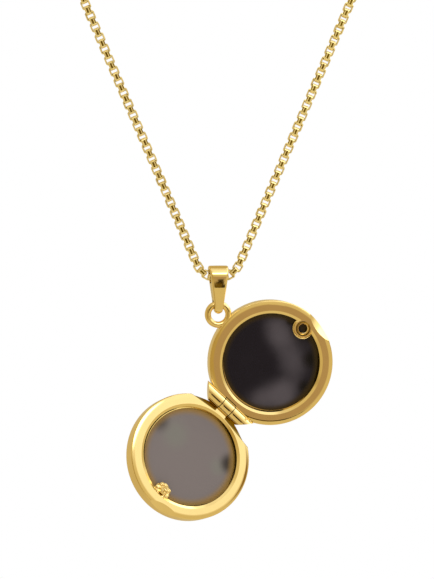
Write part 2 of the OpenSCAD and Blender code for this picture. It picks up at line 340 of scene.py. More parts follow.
@dataclass(frozen=True)
class Patch:
    """A soft patch on a plate, placed from its middle in the photograph's directions, in millimetres."""

    right: float
    up: float
    radius: float
    share: float

    def onto(self, total: Value, sheet: Sheet, groups: Groups, leaf: "Leaf") -> Socket:
        """Adds this patch to a total of shares.

        Args:
            total: The share at each point so far.
            sheet: The material's sheet.
            groups: The shared node groups.
            leaf: The half that the plate lies in.

        Returns:
            The share at each point with this patch.
        """
        centre = leaf.across(self.right, self.up) / MM
        places = {"Centre": centre, "Radius": self.radius, "Softness": self.radius}
        spot = sheet.node("Group", places, node_tree=groups.patch)
        return sheet.math("MULTIPLY_ADD", spot.outputs[0], self.share, total)


@dataclass(frozen=True)
class PlateFinish:
    """A glossy plate whose tone drifts in soft light and dark patches, and which turns amber beside the
    gold in a painted reflection of it.
    """

    name: str
    leaf: "Leaf"
    body: Colour
    light: Colour
    dark: Colour
    rim: Colour
    lights: tuple[Patch, ...]
    darks: tuple[Patch, ...]
    radius: float = 9.3
    fringe: float = 1.3
    roughness: float = 0.2
    ior: float = 1.35
    cloud_mm: float = 5.0
    cloud_share: float = 0.08
    worn: float = 0.06
    wave_mm: float = 0.01

    def material(self, groups: Groups) -> Material:
        """Builds the material.

        Args:
            groups: The shared node groups.

        Returns:
            A material of a glossy plate.
        """
        made = bpy.data.materials.new(self.name)
        made.use_nodes = True
        sheet = Sheet(made.node_tree)
        cloud = sheet.node("Group", {"Size": self.cloud_mm}, node_tree=groups.cloud)
        light = dark = 0.0
        for patch in self.lights:
            light = patch.onto(light, sheet, groups, self.leaf)
        for patch in self.darks:
            dark = patch.onto(dark, sheet, groups, self.leaf)
        lit = sheet.math("MULTIPLY_ADD", cloud.outputs["Mask"], self.cloud_share, light)
        toned = sheet.mix(sheet.fade(lit), self.body, self.light)
        shaded = sheet.mix(sheet.fade(dark), toned, self.dark)
        # Painted reflection: near its edge the plate takes the rim colour, standing for the gold round it
        # mirrored in the plate.
        places = {"Centre": self.leaf.across(0, 0) / MM, "Radius": self.radius, "Softness": self.fringe}
        within = sheet.node("Group", places, node_tree=groups.patch)
        colour = sheet.mix(within.outputs[0], self.rim, shaded)
        hair = sheet.node("Group", node_tree=groups.hairlines)
        rough = sheet.math("MULTIPLY_ADD", hair.outputs["Mask"], self.worn, self.roughness)
        bump = sheet.node("Bump", {"Height": cloud.outputs["Height"], "Distance": self.wave_mm * MM})
        normal = bump.outputs[0]
        sheet.surface({"Base Color": colour, "Roughness": rough, "IOR": self.ior, "Normal": normal})
        return made


@dataclass(frozen=True)
class Leaf:
    """One half of the open locket as a flat frame, its middle in the plane of its rim."""

    middle: Vector
    out: Vector
    along: Vector
    face: Vector
    seat: float = 1.2

    def at(self, out: float, along: float, lift: float) -> Vector:
        """A point in metres, from millimetres towards the catch, towards the ring and out of the window."""
        return self.middle + (self.out * out + self.along * along + self.face * lift) * MM

    def across(self, right: float, up: float) -> Vector:
        """A point on the plate in metres, from millimetres to the right and up in the photograph."""
        way = Vector((right, 0.0, up)) * MM
        return self.middle + way - self.face * (self.seat * MM + way.dot(self.face))


@dataclass(frozen=True)
class Plan:
    """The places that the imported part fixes, in metres."""

    bail_eye: Vector
    back: Leaf
    cover: Leaf

    @classmethod
    def from_frame(cls, reach: float = 12.1) -> "Plan":
        """Reads the places from the joints.

        Args:
            reach: Distance from the hinge pin to the middle of each half, in millimetres.

        Returns:
            The plan.
        """
        joints = {joint["name"]: joint for joint in frame["joints"]}
        joint = joints["cover_hinge"]
        hinge, along = Vector(joint["pos_m"]), Vector(joint["axis"]).normalized()
        front = Vector((0.0, -1.0, 0.0))
        out = along.cross(front)
        swing = Matrix.Rotation(radians(-max(joint["range_deg"])), 3, along)
        return cls(
            bail_eye=Vector(joints["bail_swing"]["pos_m"]),
            back=Leaf(hinge + out * reach * MM, out, along, front),
            cover=Leaf(hinge + swing @ out * reach * MM, swing @ out, along, swing @ -front),
        )


def mesh_piece(name: str, points: Array, faces: list, material: Material, crease: float) -> Piece:
    """Makes a mesh object with smooth faces and creases at sharp angles.

    Args:
        name: The piece's name.
        points: Its points in metres, one a row.
        faces: Its faces as point numbers.
        material: Its finish.
        crease: Angle in degrees past which an edge stays sharp.

    Returns:
        The new object, at the origin.
    """
    mesh = bpy.data.meshes.new(name)
    mesh.from_pydata(points.tolist(), [], faces)
    mesh.validate()
    mesh.materials.append(material)
    mesh.shade_smooth()
    mesh.set_sharp_from_angle(angle=radians(crease))
    piece = bpy.data.objects.new(name, mesh)
    bpy.context.scene.collection.objects.link(piece)
    return piece


def tube_faces(rows: int, columns: int, base: int = 0, closed: bool = True) -> list[tuple[int, ...]]:
    """The faces of a surface whose points run row by row round closed rings.

    Args:
        rows: Number of rings.
        columns: Points in each ring.
        base: Number of the first point.
        closed: Whether the last ring joins the first.

    Returns:
        Four point numbers a face.
    """
    faces = []
    for row in range(rows if closed else rows - 1):
        for column in range(columns):
            here, right = row * columns + column, row * columns + (column + 1) % columns
            skip = ((row + 1) % rows - row) * columns
            faces.append((base + here, base + right, base + right + skip, base + here + skip))
    return faces


@dataclass
class Fitted:
    """A piece that is fitted to the part: the places that the part fixes, and the piece's finish."""

    plan: Plan
    material: Material


@dataclass
class Lumps:
    """A cluster of uneven rounded lumps, each given by its middle, its directions and its three radii."""

    seed: int
    rough: float = 0.12
    rings: int = 12
    sides: int = 18
    pole: float = 1e-3
    waves: tuple[float, ...] = (6.0, 5.0, 5.0, 6.0)
    wave_axes: tuple[int, ...] = (0, 1, 0, 2)
    second_wave: float = 0.6
    points: list[Array] = field(default_factory=list)
    faces: list[tuple[int, ...]] = field(default_factory=list)

    def __post_init__(self) -> None:
        """Seeds the unevenness."""
        self.chance = np.random.default_rng(self.seed)

    def add(self, middle: Vector, axes: tuple[Vector, Vector, Vector], radii: Spot) -> None:
        """Adds one lump.

        Args:
            middle: Its middle in metres.
            axes: Its three directions.
            radii: Its radius along each, in millimetres.
        """
        phase = self.chance.uniform(0, 2 * pi, 4)
        base = sum(len(part) for part in self.points)
        lump = []
        for ring in range(self.rings + 1):
            tilt = pi * (ring + self.pole) / (self.rings + 2 * self.pole)
            for side in range(self.sides):
                turn = 2 * pi * side / self.sides
                way = (sin(tilt) * cos(turn), sin(tilt) * sin(turn), cos(tilt))
                runs = zip(self.waves, self.wave_axes, phase)
                swell = [sin(wave * way[axis] + start) for wave, axis, start in runs]
                wave = swell[0] * swell[1] + self.second_wave * swell[2] * swell[3]
                reach = Vector()
                for axis, share, radius in zip(axes, way, radii):
                    reach += axis * share * radius
                lump.append(middle + reach * (1 + self.rough * wave) * MM)
        self.points.append(np.array([tuple(point) for point in lump]))
        self.faces += tube_faces(self.rings + 1, self.sides, base, closed=False)

    def piece(self, name: str, material: Material, body: str) -> Piece:
        """Makes the cluster.

        Args:
            name: The piece's name.
            material: Its finish.
            body: The body that it rides on.

        Returns:
            The piece.
        """
        made = mesh_piece(name, np.concatenate(self.points), self.faces, material, crease=60)
        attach(made, body)
        return made


class LinkTurn(Enum):
    """Which way a link lies: its opening towards the photograph's camera, or edge on to it."""

    OPEN = 0
    EDGE = 1


@dataclass
class BoxChain:
    """The loop of box links, each turned a quarter from the next, with painted shade on the floors of their
    slots. Millimetres.
    """

    material: Material
    shade: Material
    loop: float = 450.0
    lean: float = 23.3
    dip_radius: float = 4.5
    clasp_length: float = 10.0
    clasp_width: float = 3.0
    links: int = 393
    width: float = 1.75
    strip: float = 1.06
    bar: float = 0.3
    play: float = 0.02
    corner: float = 0.38
    rails: tuple[Pair, ...] = ((-0.53, -0.17), (0.1, 0.36))
    rail_edge: float = 0.04
    floor: float = 0.05
    land: float = 0.03
    foot: float = 0.85
    # Face columns on the floors of the slots, which take the painted shade.
    slots: tuple[int, ...] = (4, 8)
    facing: float = -8.8
    roll: float = 2.5
    seed: int = 11
    corner_steps: int = 3

    def __post_init__(self) -> None:
        """Works out the neck circle, the straight sides and the dip."""
        lean = radians(self.lean)
        dip_turn = pi / 2 - lean
        gain = 2 * self.dip_radius * (tan(dip_turn) - dip_turn)
        reach = (self.loop + gain) / (2 * cos(lean) + sin(lean) * (pi + 2 * lean))
        self.neck_radius = reach * sin(lean)
        self.neck_z = self.clasp_width / 2 - self.neck_radius
        self.dip_z = self.neck_z - reach + self.dip_radius / sin(lean)
        self.clasp_turn = asin(self.clasp_length / 2 / self.neck_radius)
        self.neck_arc = self.neck_radius * (pi / 2 + lean - self.clasp_turn)
        self.side = reach * cos(lean) - self.dip_radius / tan(lean)
        self.half = self.neck_arc + self.side + self.dip_radius * dip_turn

    def place(self, along: float) -> tuple[Array, Array]:
        """A point on the chain's middle line and its direction, on the right side.

        Args:
            along: Distance from the clasp's right end, clockwise, up to the bottom of the dip.

        Returns:
            The point and the unit direction, as (x, y, z) arrays.
        """
        past_neck = along - self.neck_arc
        if past_neck < self.side:
            turn = self.clasp_turn + min(along, self.neck_arc) / self.neck_radius
            radius, level, way, straight = self.neck_radius, self.neck_z, 1, max(0.0, past_neck)
        else:
            turn = (self.half - along) / self.dip_radius
            radius, level, way, straight = self.dip_radius, self.dip_z, -1, 0.0
        direction = np.array((way * cos(turn), 0.0, -sin(turn)))
        point = np.array((radius * sin(turn), 0.0, level + way * radius * cos(turn)))
        return point + direction * straight, direction

    def outline(self) -> list[tuple[Array, Array, bool]]:
        """The rounded square that a link's strip is bent to.

        Returns:
            Its inner points, the way outwards at each, and whether the strip is slotted there.
        """
        half_l = (2 * self.half / self.links + self.play) / 2
        half_w = self.width / 2 - self.bar
        radius = self.corner - self.bar
        stations = []
        for quarter, (along, across) in enumerate(((1, 1), (-1, 1), (-1, -1), (1, -1))):
            centre = np.array((along * (half_l - radius), across * (half_w - radius)))
            for step in range(self.corner_steps + 1):
                turn = (quarter + step / self.corner_steps) * pi / 2
                out = np.array((cos(turn), sin(turn)))
                stations.append((centre + out * radius, out, False))
            if quarter % 2 == 0:
                end = half_l - radius - self.land
                ends = (np.array((side * end, across * half_w)) for side in (along, -along))
                stations += [(point, out, True) for point in ends]
        return stations

    def section(self, slotted: bool) -> list[Pair]:
        """The strip's section as (across its width, out from its inner face).

        Args:
            slotted: Whether there is a slot beside each of the two rails.

        Returns:
            The points round it.
        """
        half, soft = self.strip / 2, self.rail_edge
        low = self.floor if slotted else self.bar
        points = [(-self.foot * half, 0.0), (-half, self.floor)]
        for start, end in self.rails:
            points += [(start + soft, self.bar), (end - soft, self.bar), (end, low)]
            points += [(self.rails[1][0] if start < 0 else half - soft, low)]
        return [*points, (half, self.floor), (self.foot * half, 0.0)]

    def build(self) -> Piece:
        """Builds all the links as one piece that stands for the chain.

        Returns:
            The chain, riding on its body.
        """
        outline, columns = self.outline(), len(self.section(True))
        local = np.array([
            (*(core + out * lift), shift)
            for core, out, slotted in outline
            for shift, lift in self.section(slotted)
        ])
        # Faces on the slot floors take the dark material of painted shade.
        painted_shade = [
            int(here[2] and after[2] and column in self.slots)
            for here, after in zip(outline, outline[1:] + outline[:1])
            for column in range(columns)
        ]
        face = unit(self.facing, 0.0)
        pitch = 2 * self.half / self.links
        chance = np.random.default_rng(self.seed)
        points, faces = [], []
        for index in range(self.links):
            along = (index + 0.5) * pitch
            mirrored = index > self.links // 2
            point, direction = self.place(2 * self.half - along if mirrored else along)
            if mirrored:
                point, direction = point * (-1, 1, 1), direction * (-1, 1, 1)
            across = np.cross(face, direction)
            across /= np.linalg.norm(across) * (-1 if mirrored else 1)
            depth = np.cross(direction, across)
            turn = LinkTurn((index + self.links // 2) % 2)
            roll = radians(chance.normal(0.0, self.roll)) + turn.value * pi / 2
            across, depth = across * cos(roll) + depth * sin(roll), depth * cos(roll) - across * sin(roll)
            points.append(point + local @ np.array((direction, across, depth)))
            faces += tube_faces(len(outline), columns, index * len(local))
        piece = mesh_piece("box_links", np.concatenate(points) * MM, faces, self.material, crease=40)
        piece.data.materials.append(self.shade)
        piece.data.polygons.foreach_set("material_index", painted_shade * self.links)
        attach(piece, "chain")
        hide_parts("chain")
        return piece


@dataclass
class DropBail(Fitted):
    """The tapered strip, bent over the chain and round the ring. Millimetres from the middle of its eye."""

    height: float = 9.2
    width: float = 3.8
    tip_width: float = 1.5
    eye: float = 1.35
    wall: float = 0.75
    foot: float = 1.4
    ring_eye: float = 0.9
    ring_eye_drop: float = 5.32
    pinch: float = -86.0
    face_radius: float = 33.0
    face_top: float = -2.0
    face_foot: float = -5.5
    taper: float = -11.0
    bevel: float = 0.36
    bevel_depth: float = 0.28
    bevel_most: float = 0.6
    crown: float = 0.02
    steps: tuple[int, ...] = (30, 12, 10, 24, 8)
    bevel_steps: int = 6
    crown_steps: int = 8
    tight: float = 0.01
    tip_least: float = 0.05

    @staticmethod
    def arc(radius: float, middle: Pair, start: float, end: float, steps: int) -> list[Array]:
        """Points along an arc as (forwards, up), from angles in degrees: 0 is forwards and 90 up."""
        turns = np.radians(np.linspace(start, end, steps + 1))
        return [np.array(middle) + radius * np.array((cos(turn), sin(turn))) for turn in turns]

    def line(self, start: Array, end: Array, steps: int) -> list[Array]:
        """Points between two others, the first close beside the start so that the bend stays crisp."""
        shares = np.linspace(0.0, 1.0, steps + 1)[1:-1]
        return [start + (end - start) * share for share in (self.tight, *shares)]

    def outlines(self) -> tuple[list[Array], list[Array]]:
        """The strip as seen from the side.

        Returns:
            Its outer and its inner outline, point for point, as (forwards, up).
        """
        top, face, front, foot, back = self.steps
        big = self.eye + self.wall
        foot_z = big - self.height + self.foot
        lean = degrees(asin((big - self.foot) / -foot_z))
        turn, apart = radians(self.face_top), big - self.face_radius
        face_middle = (apart * cos(turn), apart * sin(turn))
        outer = self.arc(big, (0, 0), 180 - lean, self.face_top, top)
        outer += self.arc(self.face_radius, face_middle, self.face_top, self.face_foot, face)[1:]
        round_foot = self.arc(self.foot, (0, foot_z), self.taper, lean - 180, foot)
        outer += [*self.line(outer[-1], round_foot[0], front), *round_foot]
        outer += self.line(outer[-1], outer[0], back)
        inner_lean = degrees(asin((self.eye - self.ring_eye) / self.ring_eye_drop))
        low = (0, -self.ring_eye_drop)
        eye, ring_eye = (self.eye, (0, 0)), (self.ring_eye, low)
        inner = self.arc(*eye, 180 - inner_lean, self.face_top, top)
        inner += self.arc(*eye, self.face_top, -inner_lean, face)[1:]
        inner += self.arc(*eye, -inner_lean, self.pinch, front // 2)[1:]
        inner += self.arc(*ring_eye, -self.pinch, -inner_lean, front // 2)[:-1]
        inner += self.arc(*ring_eye, -inner_lean, inner_lean - 180, foot)
        inner += self.arc(*ring_eye, inner_lean - 180, self.pinch - 180, back // 2)[1:]
        inner += self.arc(*eye, 180 - self.pinch, 180 - inner_lean, back // 2)[:-1]
        return outer, inner

    def half_width(self, height: float) -> float:
        """Half the strip's width at a height: straight sides, then the round of the tip.

        Args:
            height: The height above the middle of the eye.

        Returns:
            Half the width there.
        """
        tip = self.tip_width / 2
        top = self.eye + self.wall
        tip_z = top - self.height + tip
        if height < tip_z:
            return sqrt(max(self.tip_least**2, tip**2 - (height - tip_z) ** 2))
        return tip + (self.width / 2 - tip) * (height - tip_z) / (top - tip_z)

    def ring(self, outer: Array, inner: Array, way: Array) -> list[Spot]:
        """The closed section at one station, as (right, forwards, up).

        Args:
            outer: The station's outer point.
            inner: Its inner point.
            way: The direction out of the strip's face there.

        Returns:
            Points round the strip.
        """
        places = [(inner, 0.0, 0.0)]
        for step in range(self.bevel_steps + 1):
            turn = pi / 2 * step / self.bevel_steps
            places.append((outer - way * self.bevel_depth * (1 - sin(turn)), 1 - cos(turn), 0.0))
        for step in range(1, self.crown_steps // 2):
            share = 2 * step / self.crown_steps
            places.append((outer + way * self.crown * (1 - (1 - share) ** 2), 1.0, share))
        section = []
        for point, inset, share in places:
            half = self.half_width(point[1])
            bevel = min(self.bevel, self.bevel_most * half)
            section.append(((half - bevel * inset) * (1 - share), *point))
        middle = outer + way * self.crown
        return [*section, (0.0, *middle), *((-x, y, z) for x, y, z in reversed(section))]

    def build(self) -> Piece:
        """Builds the bail.

        Returns:
            The bail, riding on its body.
        """
        outer, inner = (np.array(line) for line in self.outlines())
        run = np.roll(outer, -1, axis=0) - np.roll(outer, 1, axis=0)
        ways = np.column_stack((-run[:, 1], run[:, 0])) / np.linalg.norm(run, axis=1, keepdims=True)
        rings = [self.ring(*station) for station in zip(outer, inner, ways)]
        points = np.array([point for ring in rings for point in ring]) * (1, -1, 1) * MM
        faces = [face[::-1] for face in tube_faces(len(rings), len(rings[0]))]
        points += np.array(self.plan.bail_eye)
        piece = mesh_piece("drop_bail", points, faces, self.material, crease=50)
        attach(piece, "bail")
        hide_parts("bail")
        return piece


@dataclass
class BarrelClasp:
    """The closed barrel clasp at the nape: a turned body with an eye at each end. Millimetres."""

    material: Material
    length: float = 10.0
    radius: float = 1.5
    collar: float = 0.85
    shoulder: Pair = (3.9, 4.6)
    cuts: tuple[float, ...] = (0.0, 2.6, 3.3)
    cut_half: float = 0.14
    cut_depth: float = 0.14
    eye: float = 0.38
    wire: float = 0.14
    eye_z: float = 1.27
    eye_out: float = 0.1
    end_round: float = 0.3
    least: float = 0.01
    stations: int = 160
    sides: int = 48
    wire_step: int = 4

    def turned(self, along: float) -> float:
        """The turned body's outline.

        Args:
            along: The distance from its middle.

        Returns:
            Its radius there.
        """
        apart = abs(along)
        start, end = self.shoulder
        share = min(1.0, max(0.0, (apart - start) / (end - start)))
        radius = self.radius + (self.collar - self.radius) * share * share * (3 - 2 * share)
        for cut in self.cuts:
            near = 1 - abs(apart - cut) / self.cut_half
            radius -= self.cut_depth * sqrt(max(0.0, near))
        left = (self.length / 2 - apart) / self.end_round
        return radius * sqrt(max(0.0, 1 - (1 - left) ** 2)) if left < 1 else radius

    def build(self) -> Piece:
        """Builds the clasp.

        Returns:
            The clasp, riding on the chain.
        """
        turns = np.linspace(0, 2 * pi, self.sides, endpoint=False)
        wires = turns[:: self.wire_step]
        points = []
        for along in np.linspace(-self.length / 2, self.length / 2, self.stations):
            radius = max(self.least, self.turned(along))
            points += [(along, radius * sin(t), self.radius + radius * cos(t)) for t in turns]
        faces = tube_faces(self.stations, self.sides, closed=False)
        for side in (-1, 1):
            faces += tube_faces(self.sides, len(wires), len(points))
            middle = side * (self.length / 2 + self.eye_out)
            for turn in turns:
                for wire in wires:
                    reach, level = self.eye + self.wire * cos(wire), self.eye_z + self.wire * sin(wire)
                    points.append((middle + reach * cos(turn), reach * sin(turn), level))
        piece = mesh_piece("barrel_clasp", np.array(points) * MM, faces, self.material, crease=35)
        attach(piece, "chain")
        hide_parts("clasp")
        return piece


@dataclass(frozen=True)
class Lump:
    """A lump of the catch, from its middle outwards and along the hinge. Millimetres and degrees."""

    out: float
    along: float
    level: float
    radii: Spot
    turn: float


@dataclass
class CatchKnob(Fitted):
    """The catch on the cover: blunt prongs that fit the socket, in a bed of rough gold. Millimetres."""

    reach: float = 8.95
    lumps: tuple[Lump, ...] = (
        Lump(0.28, 0.25, 0.05, (0.38, 0.3, 0.56), 40),
        Lump(-0.26, 0.29, 0.1, (0.36, 0.32, 0.54), 130),
        Lump(-0.29, -0.25, 0.0, (0.38, 0.3, 0.56), 215),
        Lump(0.26, -0.29, 0.08, (0.36, 0.32, 0.54), 310),
        Lump(0.0, 0.02, -0.02, (0.3, 0.3, 0.5), 0),
        Lump(-0.1, 1.12, -0.42, (0.66, 0.44, 0.3), 80),
        Lump(0.98, 0.62, -0.44, (0.54, 0.44, 0.3), 20),
        Lump(1.02, -0.45, -0.42, (0.58, 0.4, 0.3), 75),
        Lump(0.25, -1.14, -0.43, (0.64, 0.46, 0.3), 5),
        Lump(-0.87, -0.88, -0.42, (0.5, 0.44, 0.3), 50),
        Lump(-1.2, 0.15, -0.44, (0.54, 0.46, 0.3), 95),
        Lump(-0.97, 0.92, -0.42, (0.46, 0.4, 0.3), 20),
    )

    def build(self) -> Piece:
        """Builds the knob.

        Returns:
            The knob, riding on the cover.
        """
        leaf, cluster = self.plan.cover, Lumps(seed=5, rough=0.1)
        for lump in self.lumps:
            turn = radians(lump.turn)
            first = leaf.out * cos(turn) + leaf.along * sin(turn)
            second = leaf.along * cos(turn) - leaf.out * sin(turn)
            middle = leaf.at(self.reach + lump.out, lump.along, lump.level)
            cluster.add(middle, (first, second, leaf.face), lump.radii)
        return cluster.piece("catch_knob", self.material, "cover")


@dataclass
class SolderMarks(Fitted):
    """The solder that joins the ring to the rim, and the pips by the end of the hinge. Millimetres."""

    ring_sides: tuple[float, ...] = (-1.28, 1.28)
    ring_lean: float = -0.24
    ring_reach: float = 12.0
    ring_drop: float = 0.06
    level: float = -0.75
    fillet: Spot = (0.5, 0.34, 0.4)
    pips: tuple[Spot, ...] = ((-11.25, -3.6, 1.0), (-11.0, -4.5, 0.75))
    pip: float = 0.27

    def build(self) -> Piece:
        """Builds the solder and the pips.

        Returns:
            One piece, riding on the back.
        """
        leaf, lumps = self.plan.back, Lumps(seed=3)
        axes = (leaf.out, leaf.along, leaf.face)
        for side in self.ring_sides:
            along = self.ring_reach - self.ring_drop * abs(side)
            lumps.add(leaf.at(self.ring_lean + side, along, self.level), axes, self.fillet)
        for spot in self.pips:
            lumps.add(leaf.at(*spot), axes, (self.pip, self.pip, self.pip))
        return lumps.piece("solder_marks", self.material, "back")


@dataclass(frozen=True)
class Arc:
    """A thin line on one half, round a point out and along. Millimetres and degrees from the catch."""

    out: float
    along: float
    radius: float
    lift: float
    start: float
    end: float
    wire: float


@dataclass
class CreaseLines(Fitted):
    """The dark lines of the case: seams along the knuckles, and painted shadow in the gaps at the knuckles
    and beside the barrel, round the plates, round the lug and beside the ring. Millimetres.
    """

    bright: Material
    reach: float = 12.1
    shift: float = 0.65
    radius: float = 1.31
    gap: float = 1.275
    wire: float = 0.09
    gap_turns: Pair = (-110.0, 110.0)
    turn: float = 6.0
    fold: float = 21.0
    outer_seams: tuple[Pair, ...] = ((1.6, 3.6), (-3.6, -1.6))
    middle_seam: Pair = (-0.75, 0.75)
    beside: float = 1.42
    beside_ends: Pair = (-1.25, 1.25)
    # These arcs are painted shadow: round the lug, in the gaps round the plates and beside the ring.
    back_arcs: tuple[Arc, ...] = (
        Arc(8.95, 0, 1.36, 0.0, 0, 360, 0.07),
        Arc(0, 0, 9.4, -0.8, -72, -38, 0.13),
        Arc(0, 0, 9.4, -0.8, 198, 239, 0.13),
        Arc(0, 0, 9.38, -0.45, 120, 160, 0.08),
        Arc(-0.24, 13.85, 1.98, -0.22, 62, 140, 0.1),
        Arc(-0.24, 13.85, 2.02, -0.22, -45, 17, 0.1),
    )
    cover_arcs: tuple[Arc, ...] = (
        Arc(0, 0, 9.38, -0.45, 32, 124, 0.1),
        Arc(0, 0, 9.4, -0.8, 178, 262, 0.1),
        Arc(0, 0, 9.4, -0.8, 298, 338, 0.07),
    )
    lips: tuple[Arc, ...] = (Arc(8.95, 0, 1.92, -0.12, 90, 275, 0.12),)
    steps: int = 60
    sides: int = 8
    taper: float = 0.2

    def arc(self, arc: Arc) -> list[Spot]:
        """The points of an arc, as (out, along, lift)."""
        turns = np.radians(np.linspace(arc.start, arc.end, self.steps))
        return [(arc.out + arc.radius * cos(t), arc.along + arc.radius * sin(t), arc.lift) for t in turns]

    def straight(self, ends: Pair, out: float, lift: float) -> list[Spot]:
        """A path along the barrel between two ends, a distance out from its pin and up from it."""
        return [(out - self.reach, self.shift + along, lift) for along in np.linspace(*ends, self.steps)]

    def seam(self, ends: Pair, turn: float) -> list[Spot]:
        """A path along the barrel's surface, turned in degrees from the half's face towards the catch."""
        return self.straight(ends, self.radius * sin(radians(turn)), self.radius * cos(radians(turn)))

    def gap_line(self, side: int) -> list[Spot]:
        """The path round the gap at one side of the middle knuckle, as (out, along, lift)."""
        along, turns = self.shift + side * self.gap, np.radians(np.linspace(*self.gap_turns, self.steps))
        return [(self.radius * sin(turn) - self.reach, along, self.radius * cos(turn)) for turn in turns]

    def strand(self, leaf: Leaf, path: list[Spot], wire: float) -> Array:
        """A thin strand along a path, tapered to its ends.

        Args:
            leaf: The half whose directions the path is given in.
            path: Its points, as (out, along, lift).
            wire: Its radius.

        Returns:
            Its points, ring by ring.
        """
        middles = np.array([leaf.at(*spot) for spot in path])
        points = []
        for index, (middle, way) in enumerate(zip(middles, np.gradient(middles, axis=0))):
            first = np.cross(way, leaf.out + leaf.face)
            first /= np.linalg.norm(first)
            second = np.cross(way / np.linalg.norm(way), first)
            size = wire * sqrt(sin(pi * (index + self.taper) / (len(path) - 1 + 2 * self.taper))) * MM
            for turn in np.linspace(0, 2 * pi, self.sides, endpoint=False):
                points.append(middle + (first * cos(turn) + second * sin(turn)) * size)
        return np.array(points)

    def piece(self, name: str, body: str, paths: list, material: Material) -> Piece:
        """Makes the lines of one half.

        Args:
            name: The piece's name.
            body: The half and the body that they ride on, back or cover.
            paths: Pairs of a path and its strand's radius.
            material: Their finish.

        Returns:
            One piece.
        """
        leaf = {"back": self.plan.back, "cover": self.plan.cover}[body]
        strands = [self.strand(leaf, path, wire) for path, wire in paths]
        faces = []
        for index, points in enumerate(strands):
            faces += tube_faces(self.steps, self.sides, index * len(points), closed=False)
        made = mesh_piece(name, np.concatenate(strands), faces, material, crease=60)
        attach(made, body)
        return made

    def build(self) -> list[Piece]:
        """Builds the lines.

        Returns:
            The lines on the back, those on the cover and the bright lip round the lug.
        """
        back = [(self.gap_line(side), self.wire) for side in (-1, 1)]
        back += [(self.seam(ends, -self.turn), self.wire) for ends in self.outer_seams]
        back += [(self.straight(self.beside_ends, self.beside, 0.0), self.wire)]
        cover = [(self.seam(self.middle_seam, self.fold + self.turn), self.wire)]
        backs, covers, lips = (
            [(self.arc(arc), arc.wire) for arc in arcs]
            for arcs in (self.back_arcs, self.cover_arcs, self.lips)
        )
        return [
            self.piece("back_lines", "back", back + backs, self.material),
            self.piece("cover_lines", "cover", cover + covers, self.material),
            self.piece("lug_lip", "back", lips, self.bright),
        ]


@dataclass(frozen=True)
class Card:
    """A lit or shaded stretch of the studio as the object sees it, in degrees."""

    azimuth: float
    elevation: float
    width: float
    height: float
    soft: float
    colour: Colour


